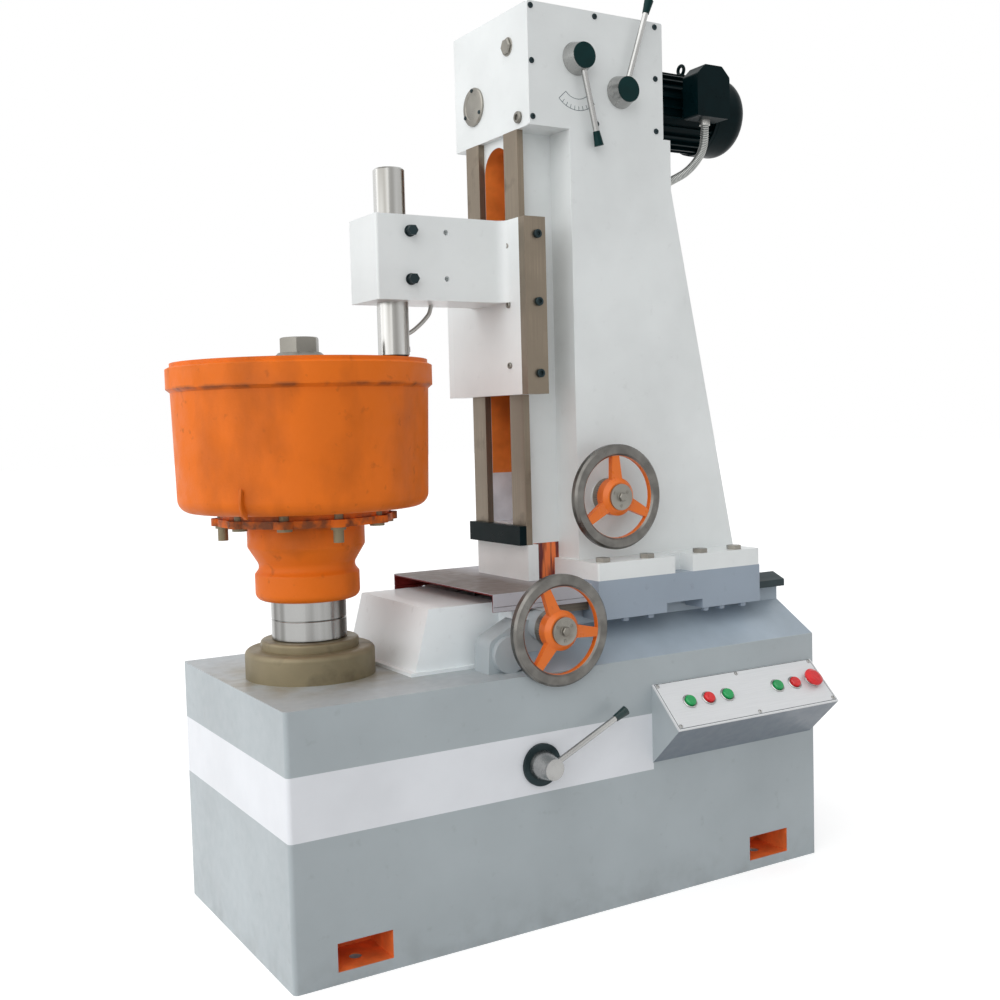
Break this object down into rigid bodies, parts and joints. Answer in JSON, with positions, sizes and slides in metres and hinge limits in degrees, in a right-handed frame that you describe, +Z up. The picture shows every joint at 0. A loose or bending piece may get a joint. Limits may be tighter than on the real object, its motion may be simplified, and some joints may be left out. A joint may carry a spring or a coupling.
{
  "type": "vertical brake drum boring machine",
  "caption": "Floor standing machine that turns a clamped brake drum on an upright spindle while a boring bar on a sliding column feeds down inside it.",
  "frame": {"origin": "on the floor, at the middle of the four anchor bolts and of the bed's footprint", "axes": "+X along the front of the machine from the spindle to the column, +Y from the front to the back, +Z up"},
  "size_m": [1.238, 0.612, 1.7097],
  "materials": {
    "bed_paint": "semi-gloss grey machine enamel",
    "column_paint": "semi-gloss pale grey machine enamel",
    "saddle_paint": "semi-gloss lavender grey machine enamel",
    "orange_paint": "orange paint over rough casting, grimy",
    "ground_steel": "ground and oiled",
    "bright_steel": "turned bright",
    "olive_iron": "oily bare casting",
    "dark_steel": "blackened",
    "black_enamel": "gloss black",
    "inner_iron": "plain casting",
    "belt_rubber": "matt",
    "conduit_metal": "ribbed flexible metal",
    "black_plastic": "polished",
    "panel_metal": "white silver sheet",
    "green_plastic": "moulded",
    "red_plastic": "moulded",
    "bronze": "machined"
  },
  "bodies": {
    "base": {"base_casting": "bed_paint", "bed_ways": "ground_steel", "way_end_cover": "column_paint", "spindle_housing": "olive_iron", "spindle_bearings": "dark_steel", "feed_bracket": "bed_paint", "control_box": "bed_paint", "control_panel": "panel_metal", "lever_escutcheon": "dark_steel", "main_motor": "inner_iron", "main_gearbox": "inner_iron", "drive_belt": "belt_rubber"},
    "spindle": {"spindle_shaft": "bright_steel", "spindle_pulley": "inner_iron", "drum_hub": "orange_paint", "brake_drum": "orange_paint", "wheel_studs": "olive_iron", "clamp_sleeve": "bright_steel", "clamp_washer": "olive_iron", "clamp_nut": "olive_iron"},
    "motor_pulley": {"drive_pulley": "inner_iron"},
    "column_slide": {"saddle": "saddle_paint", "saddle_keepers": "ground_steel", "saddle_cover": "saddle_paint", "saddle_rack": "ground_steel", "column": "column_paint", "column_ways": "ground_steel", "foot_bolts": "dark_steel", "way_end_bar": "dark_steel", "head_box": "column_paint", "head_plate": "column_paint", "feed_motor": "black_enamel", "motor_fan_cover": "black_enamel", "terminal_box": "black_enamel", "motor_conduit": "conduit_metal", "conduit_glands": "conduit_metal"},
    "carriage_slide": {"carriage": "column_paint", "carriage_keepers": "ground_steel", "clamp_bolts": "dark_steel", "feed_nut": "bronze", "nozzle_pipe": "conduit_metal"},
    "boring_bar": {"tool_bar": "bright_steel", "tool_bit": "dark_steel"},
    "vertical_screw": {"feed_screw": "bright_steel"},
    "upper_wheel": {"upper_handwheel": "ground_steel", "upper_wheel_shaft": "bright_steel"},
    "lower_wheel": {"lower_handwheel": "ground_steel", "lower_wheel_shaft": "bright_steel"},
    "left_selector": {"left_lever": "bright_steel", "left_lever_grip": "black_plastic"},
    "right_selector": {"right_lever": "bright_steel", "right_lever_grip": "black_plastic"},
    "speed_selector": {"speed_lever": "bright_steel", "speed_lever_grip": "black_plastic"},
    "start_button_body": {"start_button": "green_plastic"},
    "halt_button_body": {"halt_button": "red_plastic"},
    "jog_button_body": {"jog_button": "green_plastic"},
    "feed_button_body": {"feed_button": "green_plastic"},
    "feed_halt_button_body": {"feed_halt_button": "red_plastic"},
    "stop_button_body": {"stop_button": "red_plastic"}
  },
  "joints": [
    {"name": "spindle_spin", "type": "hinge", "parent": "base", "child": "spindle", "pos_m": [-0.415, 0, 0.5], "axis": [0, 0, 1], "continuous": true},
    {"name": "motor_pulley_spin", "type": "hinge", "parent": "base", "child": "motor_pulley", "pos_m": [-0.115, 0, 0.128], "axis": [0, 0, 1], "continuous": true},
    {"name": "column_travel", "type": "slide", "parent": "base", "child": "column_slide", "axis": [1, 0, 0], "range_m": [-0.07, 0.095]},
    {"name": "lower_wheel_turn", "type": "hinge", "parent": "base", "child": "lower_wheel", "pos_m": [-0.055, -0.277, 0.534], "axis": [0, 1, 0], "range_deg": [-252, 342]},
    {"name": "carriage_travel", "type": "slide", "parent": "column_slide", "child": "carriage_slide", "axis": [0, 0, 1], "range_m": [-0.045, 0.165]},
    {"name": "screw_turn", "type": "hinge", "parent": "column_slide", "child": "vertical_screw", "pos_m": [0.14, 0, 1.1], "axis": [0, 0, 1], "range_deg": [-4960, 1360]},
    {"name": "upper_wheel_turn", "type": "hinge", "parent": "column_slide", "child": "upper_wheel", "pos_m": [0.14, -0.188, 0.757], "axis": [0, 1, 0], "range_deg": [-2480, 680]},
    {"name": "bar_travel", "type": "slide", "parent": "carriage_slide", "child": "boring_bar", "axis": [0, 0, 1], "range_m": [-0.085, 0.05]},
    {"name": "left_lever_turn", "type": "hinge", "parent": "column_slide", "child": "left_selector", "pos_m": [0.102, -0.14, 1.581], "axis": [0, 1, 0], "range_deg": [-25, 25]},
    {"name": "right_lever_turn", "type": "hinge", "parent": "column_slide", "child": "right_selector", "pos_m": [0.203, -0.14, 1.53], "axis": [0, 1, 0], "range_deg": [-25, 25]},
    {"name": "speed_lever_turn", "type": "hinge", "parent": "base", "child": "speed_selector", "pos_m": [-0.0945, -0.272, 0.297], "axis": [0, 1, 0], "range_deg": [-25, 25]},
    {"name": "start_press", "type": "slide", "parent": "base", "child": "start_button_body", "axis": [0, 0.6794, -0.7337], "range_m": [0, 0.004], "stiffness_N_per_m": 400, "springref_m": -0.002},
    {"name": "halt_press", "type": "slide", "parent": "base", "child": "halt_button_body", "axis": [0, 0.6794, -0.7337], "range_m": [0, 0.004], "stiffness_N_per_m": 400, "springref_m": -0.002},
    {"name": "jog_press", "type": "slide", "parent": "base", "child": "jog_button_body", "axis": [0, 0.6794, -0.7337], "range_m": [0, 0.004], "stiffness_N_per_m": 400, "springref_m": -0.002},
    {"name": "feed_press", "type": "slide", "parent": "base", "child": "feed_button_body", "axis": [0, 0.6794, -0.7337], "range_m": [0, 0.004], "stiffness_N_per_m": 400, "springref_m": -0.002},
    {"name": "feed_halt_press", "type": "slide", "parent": "base", "child": "feed_halt_button_body", "axis": [0, 0.6794, -0.7337], "range_m": [0, 0.004], "stiffness_N_per_m": 400, "springref_m": -0.002},
    {"name": "stop_press", "type": "slide", "parent": "base", "child": "stop_button_body", "axis": [0, 0.6794, -0.7337], "range_m": [0, 0.004], "stiffness_N_per_m": 400, "springref_m": -0.002}
  ],
  "couplings": [
    {"joint": "motor_pulley_spin", "follows": "spindle_spin", "ratio": 2.0084},
    {"joint": "lower_wheel_turn", "follows": "column_travel", "rad_per_m": 62.5},
    {"joint": "screw_turn", "follows": "carriage_travel", "rad_per_m": -523.6},
    {"joint": "upper_wheel_turn", "follows": "carriage_travel", "rad_per_m": -261.8}
  ]
}
